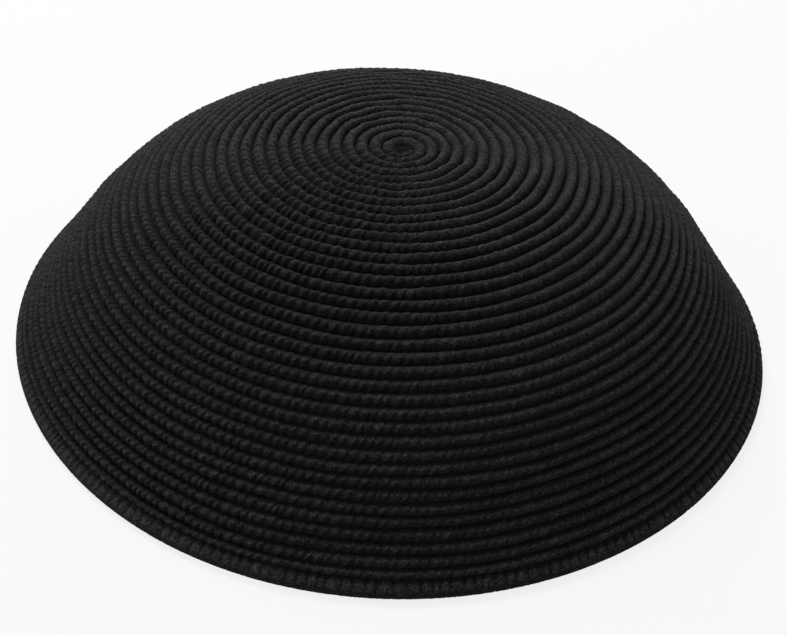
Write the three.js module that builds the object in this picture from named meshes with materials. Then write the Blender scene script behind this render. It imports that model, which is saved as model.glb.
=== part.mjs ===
// A crocheted skullcap (kippah): one cotton wall, worked in a spiral of rounds from the middle of the
// crown to the rim and closed by one larger level round. Millimetres, +Z up. The cap rests on its rim,
// so z = 0 is the surface that it lies on, and the Z axis goes through the middle of its plan.

import * as THREE from "three";

// Driving dimensions
const ROUNDS = 38; // turns of the spiral, from the middle of the crown to the closing round
const ROUND_PITCH = 2.42; // from one groove to the next, along the wall
const GROOVE_DEPTH = 0.65; // from the crest of a round down to the groove beside it
const WALL = 2.3; // from the crest of a round to the inside
const EDGE_RADIUS = 1.7; // the closing round is a thicker cord than the rest
const EDGE_NESTING = 0.85; // of that radius, from the end of the spiral to the closing round's core
const SEAT_WIDTH = 1.2; // where the closing round is flattened by resting
const COLUMNS = 36; // facets round the cap

// How steep the wall is, by rounds from the middle: a flat crown, round shoulders and a rim that eases
// outwards.
const SLOPES = [
  { round: 0, slopeDeg: 0 },
  { round: 6, slopeDeg: 0.5 },
  { round: 11, slopeDeg: 8 },
  { round: 16, slopeDeg: 22.5 },
  { round: 21, slopeDeg: 35.5 },
  { round: 26, slopeDeg: 47 },
  { round: 31, slopeDeg: 55 },
  { round: 35, slopeDeg: 54 },
  { round: 39, slopeDeg: 52 },
];

// How the soft rim departs from a circle. The share of the radius fades to nothing at the middle of the
// crown.
const PLAN_LOBES = [
  { lobes: 2, share: 0.028, towardDeg: -28 },
  { lobes: 3, share: 0.01, towardDeg: 16 },
];

// How far the middle of the crown has slumped sideways, at its top.
const CROWN_SLUMP = { x: 2, y: -5.6 };

// A round across its width: the groove that it shares with the round before it, and its two shoulders.
const ROUND_SECTION = [
  { share: 0, depth: GROOVE_DEPTH },
  { share: 0.3, depth: 0 },
  { share: 0.7, depth: 0 },
];
const ROWS = ROUND_SECTION.length;

// The closing round's section, as angles up from straight down: outside from its groove to its seat, then
// inside.
const SEAT_DEG = THREE.MathUtils.radToDeg(Math.asin(SEAT_WIDTH / 2 / EDGE_RADIUS));
const EDGE_OUTSIDE_DEG = [175, 132, 90, 55, SEAT_DEG];
const EDGE_INSIDE_DEG = [-SEAT_DEG, -65, -105];

const SPIRAL_LENGTH = ROUNDS * ROUND_PITCH;
const EDGE_ARC = SPIRAL_LENGTH + EDGE_NESTING * EDGE_RADIUS; // where the closing round's core lies
const EDGE_HEIGHT = Math.sqrt(EDGE_RADIUS ** 2 - (SEAT_WIDTH / 2) ** 2);
const INSIDE_RING_MARGIN = 0.4; // rounds between the last ring inside and the closing round

// The slope at an arc length from the middle, on a smooth curve through the table.
function slopeAt(arc) {
  const round = arc / ROUND_PITCH;
  const last = SLOPES.length - 1;
  const next = Math.max(1, SLOPES.findIndex((row) => row.round >= round));
  const [a, b] = [SLOPES[next - 1], SLOPES[next]];
  const rise = (i) => {
    const [p, q] = [SLOPES[Math.max(0, i - 1)], SLOPES[Math.min(last, i + 1)]];
    return (q.slopeDeg - p.slopeDeg) / (q.round - p.round);
  };
  const width = b.round - a.round;
  const t = (round - a.round) / width;
  const [t2, t3] = [t * t, t * t * t];
  const slopeDeg =
    (2 * t3 - 3 * t2 + 1) * a.slopeDeg +
    (t3 - 2 * t2 + t) * width * rise(next - 1) +
    (3 * t2 - 2 * t3) * b.slopeDeg +
    (t3 - t2) * width * rise(next);
  return THREE.MathUtils.degToRad(slopeDeg);
}

// The crest line from the middle of the crown: its radius and how far it has dropped, at even steps of
// arc length.
const STEPS_PER_ROUND = 12;
const STEP = ROUND_PITCH / STEPS_PER_ROUND;
const crestLine = [{ radius: 0, drop: 0 }];
for (let arc = STEP / 2; arc < EDGE_ARC + ROUND_PITCH; arc += STEP) {
  const { radius, drop } = crestLine.at(-1);
  const slope = slopeAt(Math.min(arc, SLOPES.at(-1).round * ROUND_PITCH));
  crestLine.push({ radius: radius + STEP * Math.cos(slope), drop: drop + STEP * Math.sin(slope) });
}

function crestAt(arc) {
  const i = Math.floor(arc / STEP);
  const share = arc / STEP - i;
  const mix = (key) => THREE.MathUtils.lerp(crestLine[i][key], crestLine[i + 1][key], share);
  return { radius: mix("radius"), drop: mix("drop") };
}

// A point of the wall's section, at a depth below the crest line.
function sectionAt(arc, depth) {
  const { radius, drop } = crestAt(arc);
  const slope = slopeAt(arc);
  return { radius: radius - depth * Math.sin(slope), height: crownHeight - drop - depth * Math.cos(slope) };
}

// The crown's height puts the closing round's seat at z = 0.
const crownHeight = EDGE_HEIGHT + crestAt(EDGE_ARC).drop + EDGE_RADIUS * Math.cos(slopeAt(EDGE_ARC));
const edgeCore = sectionAt(EDGE_ARC, EDGE_RADIUS);

// The section turned to a column's angle, with the plan's lobes and the slump of the crown.
function place({ radius, height }, column) {
  const angle = (-2 * Math.PI * column) / COLUMNS;
  let share = 0;
  for (const { lobes, share: size, towardDeg } of PLAN_LOBES) {
    share += size * Math.cos(lobes * (angle - THREE.MathUtils.degToRad(towardDeg)));
  }
  const reach = radius * (1 + (share * radius) / edgeCore.radius);
  const slump = height / crownHeight;
  return [
    reach * Math.cos(angle) + CROWN_SLUMP.x * slump,
    reach * Math.sin(angle) + CROWN_SLUMP.y * slump,
    height,
  ];
}

// The wall as one closed mesh
function crownGeometry() {
  const points = [];
  const faces = [];
  const add = (section, column) => points.push(place(section, column)) - 1;
  const quad = (a, b, c, d) => faces.push(a, b, c, a, c, d);
  const ring = (section) => Array.from({ length: COLUMNS }, (_, column) => add(section, column));
  const band = (upper, lower) => {
    for (let column = 0; column < COLUMNS; column++) {
      const next = (column + 1) % COLUMNS;
      quad(upper[column], upper[next], lower[next], lower[column]);
    }
  };

  // Outside, every column has the same rows, each a little further down the wall than in the column
  // before it, so that a row that has gone once round meets the row of the next round. The last turn
  // tapers off to level the edge.
  const lastTurn = (ROUNDS - 1) * ROWS;
  const spiral = [];
  for (let row = 0; row <= ROUNDS * ROWS; row++) {
    const { share, depth } = ROUND_SECTION[row % ROWS];
    spiral.push(
      Array.from({ length: COLUMNS }, (_, column) => {
        const turned = column / COLUMNS;
        const left = row < lastTurn ? 1 : 1 - turned;
        const start = row < lastTurn ? Math.floor(row / ROWS) : ROUNDS - 1;
        const across = row === ROUNDS * ROWS ? 1 : share;
        const arc = (start + turned + across * left) * ROUND_PITCH;
        return add(sectionAt(arc, row < lastTurn || across === 1 ? depth : depth * left), column);
      }),
    );
  }
  const at = (column, row) =>
    column < COLUMNS ? spiral[row][column] : spiral[Math.min(row + ROWS, ROUNDS * ROWS)][0];
  for (let column = 0; column < COLUMNS; column++) {
    for (let row = 0; row < ROUNDS * ROWS; row++) {
      const [a, d] = [at(column, row), at(column, row + 1)];
      const [b, c] = [at(column + 1, row), at(column + 1, row + 1)];
      if (b === c) faces.push(a, b, d);
      else quad(a, b, c, d);
    }
  }
  const middle = at(0, 0);
  for (let column = 1; column < COLUMNS; column++) {
    faces.push(middle, at(column + 1, 0), at(column, 0));
  }
  for (let row = 1; row < ROWS; row++) {
    faces.push(middle, at(0, row), at(0, row + 1));
  }

  // The closing round, from its groove outside, under its seat and up to the inside
  let above = spiral.at(-1);
  for (const degrees of [...EDGE_OUTSIDE_DEG, ...EDGE_INSIDE_DEG]) {
    const turn = THREE.MathUtils.degToRad(degrees);
    const below = ring({
      radius: edgeCore.radius + EDGE_RADIUS * Math.sin(turn),
      height: edgeCore.height - EDGE_RADIUS * Math.cos(turn),
    });
    band(above, below);
    above = below;
  }

  // Inside, one ring for each round back up to the middle of the crown
  for (let round = ROUNDS - INSIDE_RING_MARGIN; round > 0; round--) {
    const below = ring(sectionAt(round * ROUND_PITCH, WALL));
    band(above, below);
    above = below;
  }
  const middleInside = add(sectionAt(0, WALL), 0);
  for (let column = 0; column < COLUMNS; column++) {
    faces.push(middleInside, above[column], above[(column + 1) % COLUMNS]);
  }

  const geometry = new THREE.BufferGeometry();
  geometry.setAttribute("position", new THREE.Float32BufferAttribute(points.flat(), 3));
  geometry.setIndex(faces);
  geometry.computeBoundingBox();
  const centre = geometry.boundingBox.getCenter(new THREE.Vector3());
  geometry.translate(-centre.x, -centre.y, 0);
  geometry.computeVertexNormals();
  return geometry;
}

const blackCotton = new THREE.MeshStandardMaterial({ color: 0x1c1c1e, roughness: 0.92, metalness: 0 });
const crown = new THREE.Mesh(crownGeometry(), blackCotton);
crown.name = "crown";

const kippah = new THREE.Group();
kippah.name = "kippah";
kippah.add(crown);

export default kippah;
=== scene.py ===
"""A crocheted kippah skullcap in black cotton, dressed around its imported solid.

The cap is one cord of stitches, coiled from the middle of the crown to the rim, and a thicker closing round.
The wall is worked out in millimetres, in the solid's own frame, and the pieces are made in metres.
"""

import math

import bpy
import numpy as np
from mathutils import Matrix, Vector


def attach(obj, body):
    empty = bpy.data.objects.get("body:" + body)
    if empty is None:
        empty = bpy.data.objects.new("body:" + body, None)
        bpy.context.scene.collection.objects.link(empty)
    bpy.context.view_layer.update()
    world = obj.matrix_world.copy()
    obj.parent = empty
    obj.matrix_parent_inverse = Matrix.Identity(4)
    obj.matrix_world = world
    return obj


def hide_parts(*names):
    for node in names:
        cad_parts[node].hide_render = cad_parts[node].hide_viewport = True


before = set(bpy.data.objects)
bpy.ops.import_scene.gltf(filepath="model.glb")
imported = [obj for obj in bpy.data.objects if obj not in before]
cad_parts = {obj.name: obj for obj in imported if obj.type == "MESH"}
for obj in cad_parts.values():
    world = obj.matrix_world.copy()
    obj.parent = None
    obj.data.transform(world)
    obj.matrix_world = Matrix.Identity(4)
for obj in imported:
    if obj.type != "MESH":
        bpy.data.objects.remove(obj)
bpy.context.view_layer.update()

MM = 0.001
TURN = 2 * math.pi
RANDOM_SEED = 38
rng = np.random.default_rng(RANDOM_SEED)

# The wall, as in the solid
ROUNDS = 38  # turns of the spiral
ROUND_PITCH = 2.42
WALL = 2.3
EDGE_RADIUS = 1.7  # of the closing round
EDGE_NESTING = 0.85  # of that radius, from the end of the spiral to the closing round's core
SEAT_WIDTH = 1.2  # where the closing round is flattened by resting
SOLID_COLUMNS = 36  # facets round the solid, which is centred on its own box
STEPS_PER_ROUND = 12  # of the crest line

# How steep the wall is, by rounds from the middle
SLOPES = np.array(
    [
        (0, 0),
        (6, 0.5),
        (11, 8),
        (16, 22.5),
        (21, 35.5),
        (26, 47),
        (31, 55),
        (35, 54),
        (39, 52),
    ],
    dtype=[("round", float), ("degrees", float)],
)

# How the soft rim departs from a circle, by shares of the radius
PLAN_LOBES = [
    {"lobes": 2, "share": 0.028, "toward_deg": -28},
    {"lobes": 3, "share": 0.01, "toward_deg": 16},
]
CROWN_SLUMP = (2.0, -5.6)  # sideways, at the top
MIDDLE_SHIFT = (0.5, -1.1)  # sideways, of the knot and the first rounds alone
MIDDLE_ROUNDS = 5  # where that shift has faded away

# Unevenness of the hand work: the rounds wander along the wall, and the wall swells and dips
WANDER = 0.03
SWELL = 0.03
WAVES = 14
WAVE_LOBES = (2, 14)  # fewest round the cap, and one more than the most
WAVE_DRIFT = 1.2  # most radians a millimetre down the wall
EVEN_MIDDLE = 4  # rounds from the middle over which the unevenness sets in
EVEN_RIM = 2  # rounds to the rim over which it fades away

# Near the rim the rounds are drawn up a little, and the closing round fills the space
GATHER = 0.4
GATHER_FROM = 29  # rounds from the middle
GATHER_TO = 36

# The stitches of the coiled cord
STITCH = 1.7  # along the cord
STITCH_COLUMNS = 6  # of points in a stitch
STITCH_LEAN_DEG = 63  # from the cord's own direction
LEAN_FULL_RADIUS = 7.0  # nearer to the middle of the crown, the stitches lean less
LEAN_FADE = 2  # stitches at either end of the cord over which the lean sets in
STITCH_GAP = 0.4  # depth of the dip between two stitches
STITCH_PEAK = 0.25  # where a stitch stands highest: it rises steeply and runs out under the next one
SOFTEST = 0.65  # at the middle of the crown, of the stitches' relief
FIRM_RADIUS = 20.0  # where they stand out in full
SPACING_SPREAD = 0.2  # of a stitch's length
SHIFT_SPREAD = 0.035  # of the pitch, to either side
LIFT_SPREAD = 0.04  # in or out of the wall
SPREAD_LIMIT = 2  # no stitch is further off than this many spreads
FUZZ = 0.045  # depth of the fibres' roughness
MIDDLE_FUZZ = 1.0  # how much more of it there is at the middle of the crown

# The side where the work is loosest, and its stitches stand out most
OPEN_TOWARD_DEG = 228  # from +X to +Y
OPEN_LEAST = 0.35  # of the stitches' relief, on the opposite side
OPEN_MOST = 1.45
OPEN_NARROWNESS = 6  # higher for a narrower loose side
OPEN_SLIMMING = 0.4  # how much further the cord's rim side falls away there
SLIMMED_FROM = 0.4  # share across the round
SLIMMED_TO = 0.8

# The grooves between the rounds
SHALLOWEST = 0.25  # at the middle of the crown, of their depth
GROOVED_RADIUS = 9.5  # where they have their depth in full
BACK_FLATTER = 0.35  # how much shallower they are at the back
SIDE_SHARPNESS = 8  # higher for a cord that its neighbours hold only by its very sides

# The coiled cord
COIL_STEPS = 72  # a turn, to measure its length
NEAREST = 0.05  # to the very middle, so that no two points of the cord meet there
TAPER_END = 0.08  # of a turn, where the tapered last turn ends inside the closing round
ROUND_PIECES = 5  # the cord is cut into this many pieces

# The cord's section, by shares across the round from its crown side and depths below the crest line. Outside
# it is an arch that leans to the crown, inside a flatter one.
PROFILE = [("share", float), ("depth", float)]
OUTSIDE = np.array(
    [
        (-0.03, 1.6),
        (0.06, 0.95),
        (0.15, 0.44),
        (0.28, 0.1),
        (0.43, 0.0),
        (0.59, 0.12),
        (0.75, 0.42),
        (0.9, 1.0),
        (1.03, 1.6),
    ],
    dtype=PROFILE,
)
INSIDE_BULGE = 0.1
INSIDE = np.array([(0.86, WALL - INSIDE_BULGE), (0.5, WALL), (0.14, WALL - INSIDE_BULGE)], dtype=PROFILE)

# How much of the stitches' relief shows on the arch's two sides, and inside, where the gaps pinch the cord
# as well
CROWN_SIDE = 0.45
RIM_SIDE = 1.25
INSIDE_SHAPED = -0.7

# The knot that the work starts from, and the dimple that it lies in
KNOT_RADIUS = 2.9
KNOT_STITCHES = 7
KNOT_RINGS = 9
KNOT_COLUMNS = 56
KNOT_SECTION = np.array([(0, 1.5), (0.5, 1.15), (1, 1.35)], dtype=PROFILE)  # by shares of its radius
KNOT_RELIEF = 0.2  # how far its stitches stand up
DIMPLE_DEPTH = 0.9
DIMPLE_RADIUS = 2.8

# The closing round. Angles are in radians, from straight down round its outside to straight up.
EDGE_STITCH = 1.9  # along the round
EDGE_COLUMNS = 8  # of points in a stitch
EDGE_SIDES = 24
EDGE_GAP = 0.38  # depth between two stitches
EDGE_ROUNDNESS = 2.2  # higher for rounder stitches with narrower gaps
EDGE_LEAN = 0.5  # how far a stitch leans along the round, from its foot to its top
EDGE_LEAN_FROM = 0.6
EDGE_LEAN_TO = 3.2
EDGE_STITCHES_AT = 2.65  # the middle of the band where its stitches show
EDGE_STITCHES_HALF = 0.75
EDGE_STITCHES_FADE = 0.45
EDGE_CREASE = 0.12  # depth of the crease between these stitches and the smooth lip below them
EDGE_CREASE_AT = 1.83
EDGE_CREASE_WIDTH = 0.2
EDGE_NESTED = 0.5  # to either side of straight up, where it goes under the last turn and is darkened with painted shade
EDGE_NESTED_FADE = 0.25
EDGE_REACH = 1.1  # how far it runs up the wall beyond its own radius, under the last turn

# The yarn's tone scales its colour: it varies at random from stitch to stitch, and painted shade darkens it
# in grooves and gaps
TONE_SPREAD = 0.12
TONE_RANGE = (0.7, 1.3)
CAVITY_DEPTH = 1.1  # below the crest, where the painted shade is darkest
CAVITY_SHADE = 0.8  # how much darker the painted shade makes it there
GAP_SHADE = 2.0  # in the painted shade, a gap between stitches counts for this many times its depth
# the knot's tone, darkened as painted shade where it lies sunk in the dimple
KNOT_PAINTED_SHADE = 0.4
EDGE_LIP_PAINTED_SHADE = 0.8  # the closing round's smooth lip, darkened as painted shade
# the closing round's band of stitches, lightened as painted light
EDGE_BAND_PAINTED_LIGHT = 1.15

# The yarn's colour and surface
YARN_DARKEST = 0.01
YARN_LIGHTEST = 0.078
FLECKS_FROM = 0.32  # the part of the grain's range that makes the flecks
FLECKS_TO = 0.68
FLECKS_SHARPNESS = 1.7
GRAIN_PER_MM = 2.6
GRAIN_ROUGHNESS = 0.6
FIBRE_RELIEF = 0.6
FIBRE_STRENGTH = 0.8
PLY_RELIEF = 0.06
PLY_STRENGTH = 0.5
PLY_SCALE = 0.9
PLY_DISTORTION = 2.0
TEXTURE_DETAIL = 2
SMOOTHEST = 0.8  # of the shader's roughness
ROUGHEST = 1.0
SPECULAR = 0.25
SHEEN = 0.07
SHEEN_ROUGHNESS = 0.4
SHEEN_TINT = (0.9, 0.9, 0.95, 1)

# Camera, fitted to the photograph's outline, for an image 787 pixels wide
IMAGE_WIDTH = 787
FOCAL_PIXELS = 1161.6
SENSOR_WIDTH = 36.0
CAMERA_EYE = (-0.52, -193.84, 154.82)
CAMERA_AIM = (1.26, 0, -0.56)
CAMERA_ROLL_DEG = 1.801
CLIP_START = 10

# Floor and light, in metres
FLOOR_HALF = 4.0
FLOOR_GREY = (0.19, 0.19, 0.19, 1)
FLOOR_GLOW = 0.825
WHITE = (1, 1, 1, 1)
WORLD_STRENGTH = 0.3
LIGHT_DISTANCE = 0.85
LIGHTS = [
    {"name": "key", "azimuth_deg": 140, "elevation_deg": 64, "size": 0.32, "watts": 2.9},
    {"name": "back", "azimuth_deg": 92, "elevation_deg": 22, "size": 0.3, "watts": 1.7},
    {"name": "left", "azimuth_deg": 195, "elevation_deg": 14, "size": 0.3, "watts": 0.6},
]


def ramp(value, start, end):
    """0 up to the start, 1 from the end on, and even in between."""
    return np.clip((value - start) / (end - start), 0, 1)


def band(value, middle, half, fade):
    """1 in a band to either side of a middle value, fading to 0 at its ends."""
    return ramp(half - np.abs(value - middle), 0, fade)


# The wall's shape


def slope_at(arc):
    """The slope in radians at an arc length from the middle, on a smooth curve through the table."""
    place = SLOPES["round"]
    value = SLOPES["degrees"]
    step = np.append(place[1:], place[-1]) - np.insert(place[:-1], 0, place[0])
    rise = (np.append(value[1:], value[-1]) - np.insert(value[:-1], 0, value[0])) / step
    x = np.clip(arc / ROUND_PITCH, place[0], place[-1])
    i = np.clip(np.searchsorted(place, x), 1, len(place) - 1)
    width = place[i] - place[i - 1]
    t = (x - place[i - 1]) / width
    degrees = (
        (2 * t**3 - 3 * t**2 + 1) * value[i - 1]
        + (t**3 - 2 * t**2 + t) * width * rise[i - 1]
        + (3 * t**2 - 2 * t**3) * value[i]
        + (t**3 - t**2) * width * rise[i]
    )
    return np.radians(degrees)


EDGE_ARC = ROUNDS * ROUND_PITCH + EDGE_NESTING * EDGE_RADIUS  # where the closing round's core lies
EDGE_SLOPE = slope_at(EDGE_ARC)

# The crest line: its radius and how far it has dropped, at even steps of arc length
ARC_STEP = ROUND_PITCH / STEPS_PER_ROUND
step_middles = np.arange(ARC_STEP / 2, EDGE_ARC + 2 * ROUND_PITCH, ARC_STEP)
crest_arc = np.append(0, step_middles + ARC_STEP / 2)
crest_radius = np.append(0, np.cumsum(ARC_STEP * np.cos(slope_at(step_middles))))
crest_drop = np.append(0, np.cumsum(ARC_STEP * np.sin(slope_at(step_middles))))

# The crown's height puts the closing round's seat on the floor
EDGE_HEIGHT = math.sqrt(EDGE_RADIUS**2 - (SEAT_WIDTH / 2) ** 2)
CROWN_HEIGHT = EDGE_HEIGHT + np.interp(EDGE_ARC, crest_arc, crest_drop) + EDGE_RADIUS * math.cos(EDGE_SLOPE)


def section_at(arc, depth):
    """Radius and height of the wall at an arc length from the middle and a depth below the crest line."""
    slope = slope_at(arc)
    radius = np.interp(arc, crest_arc, crest_radius) - depth * np.sin(slope)
    height = CROWN_HEIGHT - np.interp(arc, crest_arc, crest_drop) - depth * np.cos(slope)
    return radius, height


EDGE_CORE_RADIUS, EDGE_CORE_HEIGHT = section_at(EDGE_ARC, EDGE_RADIUS)


def turned(radius, height, angle):
    """The section turned to an angle, with the plan's lobes and the slump of the crown."""
    share = 0
    for row in PLAN_LOBES:
        share = share + row["share"] * np.cos(row["lobes"] * (angle - math.radians(row["toward_deg"])))
    reach = radius * (1 + share * radius / EDGE_CORE_RADIUS)
    slump = height / CROWN_HEIGHT
    x = reach * np.cos(angle) + CROWN_SLUMP[0] * slump
    y = reach * np.sin(angle) + CROWN_SLUMP[1] * slump
    return np.stack([x, y, height + 0 * x], axis=-1)


solid_angles = np.arange(SOLID_COLUMNS) * TURN / SOLID_COLUMNS
solid_rim = turned(EDGE_CORE_RADIUS + EDGE_RADIUS, EDGE_CORE_HEIGHT, solid_angles)
PLAN_CENTRE = (solid_rim.min(0) + solid_rim.max(0)) / 2 * (1, 1, 0)


def waves(size):
    """A smooth uneven field over the wall: a function of arc length and angle."""
    lobes = rng.integers(*WAVE_LOBES, WAVES)
    drift = rng.uniform(-WAVE_DRIFT, WAVE_DRIFT, WAVES)
    phase = rng.uniform(0, TURN, WAVES)

    def field(arc, angle):
        total = np.zeros(np.broadcast(arc, angle).shape)
        for n, k, p in zip(lobes, drift, phase):
            total += np.sin(n * angle + k * arc + p)
        return size * total

    return field


wander = waves(WANDER)
swell = waves(SWELL)


def gathered(arc):
    """An arc length from the middle, drawn up near the rim."""
    share = ramp(arc / ROUND_PITCH, GATHER_FROM, GATHER_TO)
    return arc - GATHER * share**2 * (3 - 2 * share)


def wall_point(arc, depth, angle):
    """A point of the uneven wall, in metres."""
    uneven = ramp(arc, 0, EVEN_MIDDLE * ROUND_PITCH) * ramp(EDGE_ARC - arc, 0, EVEN_RIM * ROUND_PITCH)
    wandered = gathered(arc) + uneven * wander(arc, angle)
    radius, height = section_at(wandered, depth - uneven * swell(arc, angle))
    pull = (1 - ramp(arc, 0, MIDDLE_ROUNDS * ROUND_PITCH)) ** 2
    shift = np.stack([pull * MIDDLE_SHIFT[0], pull * MIDDLE_SHIFT[1], 0 * pull], axis=-1)
    return (turned(radius, height, angle) + shift - PLAN_CENTRE) * MM


# Meshes


def corners(grid):
    """The four corners of each cell of a grid, in order."""
    return np.stack([grid[:-1, :-1], grid[:-1, 1:], grid[1:, 1:], grid[1:, :-1]], axis=2)


def tube(name, points, around, along, tone_and_painted_shade, ring):
    """A closed tube through sections of points, with its stitch coordinates and its points' tone: each
    stitch's own tone with painted shade.
    """
    columns, sides = points.shape[:2]
    vertex = np.arange(columns * sides).reshape(columns, sides)
    if ring:
        vertex = np.vstack([vertex, vertex[:1]])
        along = np.vstack([along, along[-1:] + along[1:2] - along[:1]])
    vertex = np.hstack([vertex, vertex[:, :1]])
    along = np.hstack([along, along[:, :1]])
    uv = np.stack([along, np.broadcast_to(np.append(around, 1.0), along.shape)], axis=-1)
    loops = corners(vertex).reshape(-1)
    loop_uv = corners(uv).reshape(-1, 2)
    starts = np.arange(0, len(loops), 4)
    if not ring:
        starts = np.append(starts, [len(loops), len(loops) + sides])
        loops = np.concatenate([loops, vertex[0, :sides][::-1], vertex[-1, :sides]])
        loop_uv = np.concatenate([loop_uv, uv[0, :sides][::-1], uv[-1, :sides]])

    mesh = bpy.data.meshes.new(name)
    mesh.vertices.add(columns * sides)
    mesh.vertices.foreach_set("co", points.astype(np.float32).reshape(-1))
    mesh.loops.add(len(loops))
    mesh.loops.foreach_set("vertex_index", loops.astype(np.int32))
    mesh.polygons.add(len(starts))
    mesh.polygons.foreach_set("loop_start", starts.astype(np.int32))
    mesh.uv_layers.new(name="stitches")
    mesh.uv_layers["stitches"].data.foreach_set("uv", loop_uv.astype(np.float32).reshape(-1))
    tones_with_painted_shade = np.broadcast_to(tone_and_painted_shade, (columns, sides)).astype(np.float32)
    mesh.attributes.new("tone_and_painted_shade", "FLOAT", "POINT").data.foreach_set("value", tones_with_painted_shade.reshape(-1))
    mesh.update(calc_edges=True)
    mesh.validate()
    mesh.shade_smooth()
    piece = bpy.data.objects.new(name, mesh)
    bpy.context.scene.collection.objects.link(piece)
    return piece


def spread(count):
    """One random departure for each stitch, in spreads."""
    return np.clip(rng.normal(size=count), -SPREAD_LIMIT, SPREAD_LIMIT)


def stitch_columns(count, columns):
    """Uneven stitches along a cord that is 1 long.

    Gives where each column lies, its place in its stitch, and its stitch.
    """
    widths = 1 + SPACING_SPREAD * spread(count)
    ends = np.append(0, np.cumsum(widths)) / widths.sum()
    stitch = np.repeat(np.arange(count), columns)
    phase = np.tile(np.arange(columns) / columns, count)
    return ends[stitch] + phase * np.diff(ends)[stitch], phase, stitch


def dip(phase):
    """How far a stitch has dropped from its peak: 0 there and 1 in the gap between two stitches."""
    off_peak = phase - STITCH_PEAK
    share = np.where(off_peak < 0, -off_peak / STITCH_PEAK, off_peak / (1 - STITCH_PEAK))
    return 0.5 - 0.5 * np.cos(math.pi * share)


def stitch_tones(count):
    """Each stitch's own tone."""
    return np.clip(rng.normal(1, TONE_SPREAD, count), *TONE_RANGE)


def painted_cavity_shade(depth):
    """Painted shade: how far the yarn's colour is darkened with its depth below the crest."""
    return 1 - CAVITY_SHADE * ramp(depth, 0, CAVITY_DEPTH)


def coil():
    """The coiled cord's route: turns from the middle, the radius there and the length of cord so far."""
    turns = np.linspace(0, ROUNDS - TAPER_END, ROUNDS * COIL_STEPS + 1)
    width = np.clip(ROUNDS - turns, 0, 1)
    radius = np.interp((turns + width / 2) * ROUND_PITCH, crest_arc, crest_radius)
    steps = TURN * (radius[1:] + radius[:-1]) / 2 * np.diff(turns)
    return turns, radius, np.append(0, np.cumsum(steps))


def coiled_cord():
    """The spiral of rounds from the middle of the crown to the closing round, in several pieces."""
    turns, radii, lengths = coil()
    length = lengths[-1]
    count = round(length / STITCH)
    place, phase, stitch = stitch_columns(count, STITCH_COLUMNS)
    place = np.append(place, 1.0)[:, None] * length
    phase = np.append(phase, 0.0)[:, None]
    stitch = np.append(stitch, count - 1)[:, None]
    turn = np.interp(place, lengths, turns)
    radius = np.interp(place, lengths, radii)

    # the section, from the inside round to the outside, and how its sides are held by the rounds next to it
    profile = np.concatenate([OUTSIDE, INSIDE])[::-1]
    share = profile["share"]
    outside = np.arange(len(share)) >= len(INSIDE)
    held = np.minimum(np.abs(2 * share - 1), 1) ** SIDE_SHARPNESS
    free = 1 - held
    shaped = np.where(outside, (CROWN_SIDE + (RIM_SIDE - CROWN_SIDE) * share) * free, INSIDE_SHAPED)

    # where the stitches lie on the wall
    from_ends = np.minimum(place, length - place) / STITCH
    lean = ROUND_PITCH / math.tan(math.radians(STITCH_LEAN_DEG))
    lean = lean * ramp(radius, 0, LEAN_FULL_RADIUS) * ramp(from_ends, 0, LEAN_FADE)
    leaned = np.clip(turn + lean / (TURN * radius) * (share - 0.5), 0, ROUNDS - TAPER_END)
    width = np.clip(ROUNDS - leaned, 0, 1)
    shift = SHIFT_SPREAD * spread(count)[stitch] * (1 - dip(phase))
    arc = np.maximum((leaned + (share + shift * free) * width) * ROUND_PITCH, NEAREST)

    # how far they stand out
    firm = np.clip(SOFTEST + (1 - SOFTEST) * radius / FIRM_RADIUS, 0, 1)
    toward = 0.5 + 0.5 * np.cos(TURN * turn + math.radians(OPEN_TOWARD_DEG))
    loosest = toward**OPEN_NARROWNESS
    openness = OPEN_LEAST + (OPEN_MOST - OPEN_LEAST) * loosest
    relief = firm * openness * (STITCH_GAP * dip(phase) - LIFT_SPREAD * spread(count)[stitch])
    fuzzy = FUZZ * (1 + MIDDLE_FUZZ * (1 - ramp(radius, 0, FIRM_RADIUS)))
    fuzz = fuzzy * rng.normal(size=arc.shape) * free

    # how deep the grooves are beside them
    slimmed = ramp(share, SLIMMED_FROM, SLIMMED_TO) * free * outside
    section = profile["depth"] + OPEN_SLIMMING * loosest * slimmed
    grooved = np.clip(SHALLOWEST + (1 - SHALLOWEST) * radius / GROOVED_RADIUS, 0, 1)
    toward_back = np.clip(-np.sin(TURN * turn), 0, 1)
    arched = width * (grooved * (1 - BACK_FLATTER * toward_back))
    sunk = DIMPLE_DEPTH * np.exp(-((arc / DIMPLE_RADIUS) ** 2)) * outside
    smooth_depth = section * np.where(outside, arched + (1 - arched) * held, 1) + sunk

    depth = smooth_depth + np.where(outside, width, 1) * (shaped * relief + fuzz)
    points = wall_point(arc, depth, -TURN * leaned)
    # painted shade: the colour is darkened in the grooves and in the gaps between stitches
    shade = np.where(outside, painted_cavity_shade(smooth_depth + GAP_SHADE * shaped * relief), 1)
    tone_and_painted_shade = stitch_tones(count)[stitch] * shade
    around = np.linspace(0, 1, len(share), endpoint=False)
    along = np.broadcast_to(stitch + phase, arc.shape).copy()
    along[-1] = count
    cuts = np.linspace(0, count, ROUND_PIECES + 1).round().astype(int) * STITCH_COLUMNS
    pieces = []
    for i, (low, high) in enumerate(zip(cuts[:-1], cuts[1:])):
        part = slice(low, high + 1)
        pieces.append(tube(f"rounds_{i + 1}", points[part], around, along[part], tone_and_painted_shade[part], ring=False))
    return pieces


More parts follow.
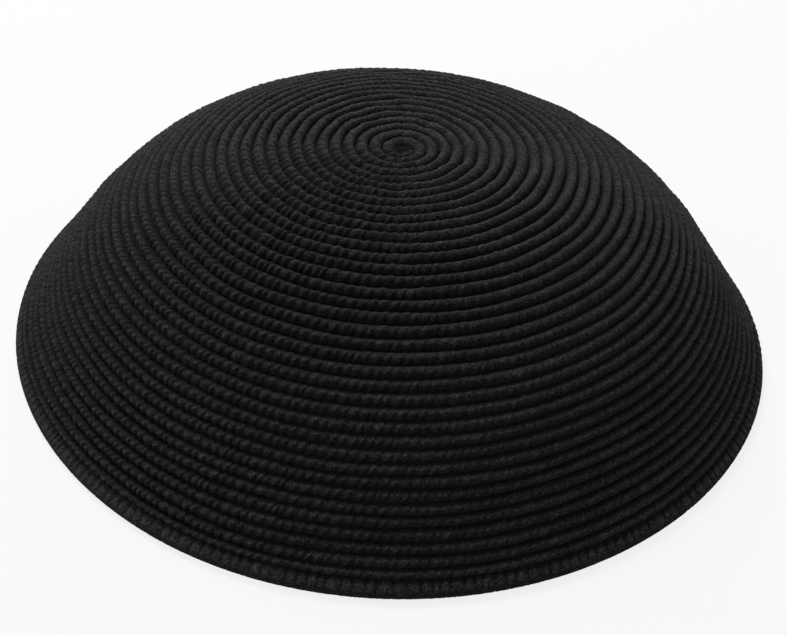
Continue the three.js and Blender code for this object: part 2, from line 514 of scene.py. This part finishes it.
def knot():
    """The small ring of stitches at the middle of the crown, sunk under the first turn of the cord."""
    angle = -np.arange(KNOT_COLUMNS) * TURN / KNOT_COLUMNS
    share = np.arange(1, KNOT_RINGS + 1)[:, None] / KNOT_RINGS
    petals = KNOT_RELIEF * np.abs(np.cos(angle * KNOT_STITCHES / 2)) * np.sin(math.pi * share)
    depth = np.interp(share, KNOT_SECTION["share"], KNOT_SECTION["depth"]) - petals
    fuzz = FUZZ * rng.normal(size=petals.shape)
    upper = wall_point(share * KNOT_RADIUS, depth + fuzz, angle)
    lower = wall_point(share[::-1] * KNOT_RADIUS, WALL + 0 * petals, angle)
    points = np.vstack([upper, lower])
    around = np.arange(KNOT_COLUMNS) / KNOT_COLUMNS
    along = np.broadcast_to(-angle * KNOT_STITCHES / TURN, points.shape[:2])
    # painted shade: the knot is darkened as a whole, and further with its depth
    tone_and_painted_shade = KNOT_PAINTED_SHADE * np.vstack([painted_cavity_shade(depth), np.ones_like(petals)])
    return tube("knot", points, around, along, tone_and_painted_shade, ring=False)


def closing_round():
    """The thicker level round at the rim, flattened where it rests."""
    count = round(TURN * EDGE_CORE_RADIUS / EDGE_STITCH)
    place, phase, stitch = (values[:, None] for values in stitch_columns(count, EDGE_COLUMNS))
    side = np.arange(EDGE_SIDES) * TURN / EDGE_SIDES
    stitched = band(side, EDGE_STITCHES_AT, EDGE_STITCHES_HALF, EDGE_STITCHES_FADE)
    painted_shade_under_turn = band(side, math.pi, EDGE_NESTED, EDGE_NESTED_FADE)
    crease = EDGE_CREASE * np.exp(-(((side - EDGE_CREASE_AT) / EDGE_CREASE_WIDTH) ** 2))

    lean = EDGE_LEAN * (0.5 - ramp(side, EDGE_LEAN_FROM, EDGE_LEAN_TO)) * (np.sin(side) > 0)
    angle = -TURN * place - lean / EDGE_CORE_RADIUS
    fuzz = FUZZ * rng.normal(size=angle.shape)
    gap = EDGE_GAP * np.abs(2 * phase - 1) ** EDGE_ROUNDNESS
    bulge = EDGE_RADIUS - crease - gap * stitched + np.minimum(fuzz, 0)
    climb = -np.sin(side) * math.cos(EDGE_SLOPE) - np.cos(side) * math.sin(EDGE_SLOPE)
    uphill = EDGE_REACH * np.clip(climb, 0, 1)
    radius = EDGE_CORE_RADIUS + bulge * np.sin(side) - uphill * math.cos(EDGE_SLOPE)
    height = EDGE_CORE_HEIGHT - bulge * np.cos(side) + uphill * math.sin(EDGE_SLOPE)
    points = (turned(radius, np.maximum(height, 0), angle) - PLAN_CENTRE) * MM

    along = np.broadcast_to(stitch + phase, angle.shape)
    # painted light and shade: the band of stitches is lightened, and the lip, the gaps and the part under
    # the last turn are darkened
    painted_light_and_shade = EDGE_LIP_PAINTED_SHADE + (EDGE_BAND_PAINTED_LIGHT - EDGE_LIP_PAINTED_SHADE) * stitched
    shade = painted_cavity_shade(GAP_SHADE * (EDGE_RADIUS - bulge) + painted_shade_under_turn)
    tone_and_painted_shade = painted_light_and_shade * stitch_tones(count)[stitch] * shade
    return tube("closing_round", points, side / TURN, along, tone_and_painted_shade, ring=True)


# Materials


def set_inputs(shader_node, values):
    """Set a node's sockets, by their names or numbers."""
    for socket, value in values.items():
        shader_node.inputs[socket].default_value = value


def node(tree, kind, inputs, **settings):
    """A new node with its sockets and its other settings."""
    made = tree.nodes.new(kind)
    for name, value in settings.items():
        setattr(made, name, value)
    set_inputs(made, inputs)
    return made


def cotton():
    """Matt black yarn with fine pale flecks, and its plies and fibres as a fine relief."""
    material = bpy.data.materials.new("black_cotton")
    material.use_nodes = True
    tree = material.node_tree
    link = tree.links.new
    shader = tree.nodes["Principled BSDF"]
    set_inputs(
        shader,
        {
            "Specular IOR Level": SPECULAR,
            "Sheen Weight": SHEEN,
            "Sheen Roughness": SHEEN_ROUGHNESS,
            "Sheen Tint": SHEEN_TINT,
        },
    )

    coordinates = node(tree, "ShaderNodeTexCoord", {})
    fibres = {"Scale": GRAIN_PER_MM / MM, "Detail": TEXTURE_DETAIL, "Roughness": GRAIN_ROUGHNESS}
    grain = node(tree, "ShaderNodeTexNoise", fibres)
    link(coordinates.outputs["Object"], grain.inputs["Vector"])

    # colour
    speckle = node(tree, "ShaderNodeMapRange", {"From Min": FLECKS_FROM, "From Max": FLECKS_TO})
    link(grain.outputs["Fac"], speckle.inputs["Value"])
    flecks = node(tree, "ShaderNodeMath", {1: FLECKS_SHARPNESS}, operation="POWER")
    link(speckle.outputs[0], flecks.inputs[0])
    albedo = node(tree, "ShaderNodeMapRange", {"To Min": YARN_DARKEST, "To Max": YARN_LIGHTEST})
    link(flecks.outputs[0], albedo.inputs["Value"])
    # the tone attribute scales the colour by each stitch's own tone and by painted shade
    tone_and_painted_shade = node(tree, "ShaderNodeAttribute", {}, attribute_name="tone_and_painted_shade")
    colour = node(tree, "ShaderNodeMath", {}, operation="MULTIPLY")
    link(albedo.outputs[0], colour.inputs[0])
    link(tone_and_painted_shade.outputs["Fac"], colour.inputs[1])
    link(colour.outputs[0], shader.inputs["Base Color"])

    # roughness
    rough = node(tree, "ShaderNodeMapRange", {"To Min": SMOOTHEST, "To Max": ROUGHEST})
    link(grain.outputs["Fac"], rough.inputs["Value"])
    link(rough.outputs[0], shader.inputs["Roughness"])

    # plies and fibres
    stitches = node(tree, "ShaderNodeUVMap", {}, uv_map="stitches")
    twist = {"Scale": PLY_SCALE, "Distortion": PLY_DISTORTION, "Detail": TEXTURE_DETAIL}
    plies = node(tree, "ShaderNodeTexWave", twist, wave_type="BANDS", bands_direction="DIAGONAL")
    link(stitches.outputs["UV"], plies.inputs["Vector"])
    ply_bump = node(tree, "ShaderNodeBump", {"Strength": PLY_STRENGTH, "Distance": PLY_RELIEF * MM})
    link(plies.outputs["Fac"], ply_bump.inputs["Height"])
    fibre_bump = node(tree, "ShaderNodeBump", {"Strength": FIBRE_STRENGTH, "Distance": FIBRE_RELIEF * MM})
    link(grain.outputs["Fac"], fibre_bump.inputs["Height"])
    link(ply_bump.outputs["Normal"], fibre_bump.inputs["Normal"])
    link(fibre_bump.outputs["Normal"], shader.inputs["Normal"])
    return material


def pale_floor():
    """A matt floor that glows a little."""
    material = bpy.data.materials.new("pale_floor")
    material.use_nodes = True
    shader = material.node_tree.nodes["Principled BSDF"]
    set_inputs(
        shader,
        {
            "Base Color": FLOOR_GREY,
            "Roughness": 1.0,
            "Specular IOR Level": 0.0,
            "Emission Color": WHITE,
            "Emission Strength": FLOOR_GLOW,
        },
    )
    return material


# Stage


def add_floor():
    """The floor, whose own glow keeps it pale in the picture and stays off the cap."""
    square = [(-1, -1, 0), (1, -1, 0), (1, 1, 0), (-1, 1, 0)]
    mesh = bpy.data.meshes.new("floor")
    mesh.from_pydata([Vector(corner) * FLOOR_HALF for corner in square], [], [(0, 1, 2, 3)])
    mesh.materials.append(pale_floor())
    floor = bpy.data.objects.new("floor", mesh)
    bpy.context.scene.collection.objects.link(floor)
    glow_on = bpy.data.collections.new("floor_glow")
    glow_on.objects.link(floor)
    floor.light_linking.receiver_collection = glow_on


def add_light(name, azimuth_deg, elevation_deg, size, watts):
    """A round soft light that looks at the cap, its azimuth turning from +X to +Y."""
    azimuth = math.radians(azimuth_deg)
    elevation = math.radians(elevation_deg)
    level = Vector((math.cos(azimuth), math.sin(azimuth), 0)) * math.cos(elevation)
    place = (level + Vector((0, 0, math.sin(elevation)))) * LIGHT_DISTANCE
    data = bpy.data.lights.new(name, "AREA")
    data.shape = "DISK"
    data.size = size
    data.energy = watts
    light = bpy.data.objects.new(name, data)
    light.location = place
    light.rotation_euler = (-place).to_track_quat("-Z", "Y").to_euler()
    bpy.context.scene.collection.objects.link(light)


def add_world():
    """Even white light from all round."""
    world = bpy.data.worlds.new("studio")
    world.use_nodes = True
    set_inputs(world.node_tree.nodes["Background"], {"Color": WHITE, "Strength": WORLD_STRENGTH})
    bpy.context.scene.world = world


def add_camera():
    """The camera at the photograph's viewing angle."""
    eye = Vector(CAMERA_EYE) * MM
    back = (eye - Vector(CAMERA_AIM) * MM).normalized()
    right = Vector((0, 0, 1)).cross(back).normalized()
    up = back.cross(right)
    roll = math.radians(CAMERA_ROLL_DEG)
    rolled_right = right * math.cos(roll) + up * math.sin(roll)
    rolled_up = up * math.cos(roll) - right * math.sin(roll)
    data = bpy.data.cameras.new("camera")
    data.sensor_fit = "HORIZONTAL"
    data.sensor_width = SENSOR_WIDTH
    data.lens = FOCAL_PIXELS / IMAGE_WIDTH * SENSOR_WIDTH
    data.clip_start = CLIP_START * MM
    camera = bpy.data.objects.new("camera", data)
    axes = Matrix((rolled_right, rolled_up, back)).transposed()
    camera.matrix_world = Matrix.Translation(eye) @ axes.to_4x4()
    bpy.context.scene.collection.objects.link(camera)
    bpy.context.scene.camera = camera


# The cap and its stage

black_cotton = cotton()
for piece in [*coiled_cord(), knot(), closing_round()]:
    piece.data.materials.append(black_cotton)
    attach(piece, "root")
    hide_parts("crown")

add_floor()
add_world()
for row in LIGHTS:
    add_light(**row)
add_camera()
bpy.context.scene.view_settings.view_transform = "Standard"

bpy.context.view_layer.update()
